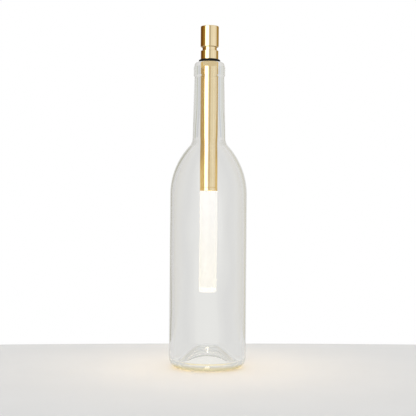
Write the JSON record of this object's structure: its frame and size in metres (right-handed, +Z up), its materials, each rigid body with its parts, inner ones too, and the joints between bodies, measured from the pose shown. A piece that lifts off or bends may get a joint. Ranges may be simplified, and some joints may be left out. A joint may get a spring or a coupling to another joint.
{
  "type": "bottle light",
  "caption": "Rechargeable brass light stick with a screw head and a glowing opal tube, standing in the mouth of a clear wine bottle.",
  "frame": {"origin": "centre of the bottle's base, on the surface it stands on", "axes": "+Z up along the bottle and the light; the charging board faces +Y"},
  "size_m": [0.0754, 0.0754, 0.335],
  "materials": {
    "clear_glass": "clear flint glass, fire polished",
    "polished_brass": "polished and lacquered",
    "black_rubber": "satin",
    "grey_silicone": "matt",
    "opal_acrylic": "opal, glowing warm white",
    "clear_acrylic": "clear, polished",
    "black_nylon": "moulded",
    "white_nylon": "moulded",
    "magnet_nickel": "plated",
    "socket_steel": "stamped",
    "green_board": "solder mask over glass fibre",
    "chip_black": "moulded",
    "cell_steel": "nickel plated",
    "cell_foils": "wound foils",
    "fibre": "plain",
    "cell_sleeve": "shrunk film",
    "nickel_strip": "plain",
    "amber_film": "polyimide",
    "grey_foam": "closed cell foam",
    "turned_aluminium": "turned",
    "white_board": "white solder mask",
    "phosphor": "cast silicone",
    "white_film": "reflecting"
  },
  "bodies": {
    "bottle_body": {"bottle": "clear_glass"},
    "light": {"collar": "polished_brass", "neck_ring": "black_rubber", "cap_seal": "black_rubber", "charge_socket": "socket_steel", "socket_tongue": "black_nylon", "socket_surround": "black_nylon", "status_pipe": "clear_acrylic", "charge_board": "green_board", "board_parts": "chip_black", "switch_chip": "chip_black", "board_carrier": "black_nylon", "cell_can": "cell_steel", "cell_core": "cell_foils", "cell_lid": "cell_steel", "cell_washer": "fibre", "cell_wrap": "cell_sleeve", "plus_tab": "nickel_strip", "minus_tab": "nickel_strip", "lamp_strip": "amber_film", "upper_pad": "grey_foam", "lower_pad": "grey_foam", "heat_sink": "turned_aluminium", "heat_pad": "grey_silicone", "lamp_board": "white_board", "lamp_chip": "phosphor", "casing_tube": "polished_brass", "ferrule": "polished_brass", "diffuser_gasket": "grey_silicone", "diffuser_tube": "opal_acrylic", "diffuser_end": "opal_acrylic", "end_mirror": "white_film", "light_guide": "clear_acrylic"},
    "cap_slider": {"cap_washer": "white_nylon"},
    "cap": {"cap_shell": "polished_brass", "cap_insert": "black_nylon", "cap_magnet": "magnet_nickel"}
  },
  "joints": [
    {"name": "light_lift", "type": "slide", "parent": "bottle_body", "child": "light", "axis": [0, 0, 1], "range_m": [0, 0.24]},
    {"name": "cap_rise", "type": "slide", "parent": "light", "child": "cap_slider", "axis": [0, 0, 1], "range_m": [0, 0.012]},
    {"name": "cap_turn", "type": "hinge", "parent": "cap_slider", "child": "cap", "pos_m": [0, 0, 0.31452], "axis": [0, 0, 1], "range_deg": [0, 1440]}
  ],
  "couplings": [
    {"joint": "cap_rise", "follows": "cap_turn", "m_per_rad": 0.00047746}
  ]
}
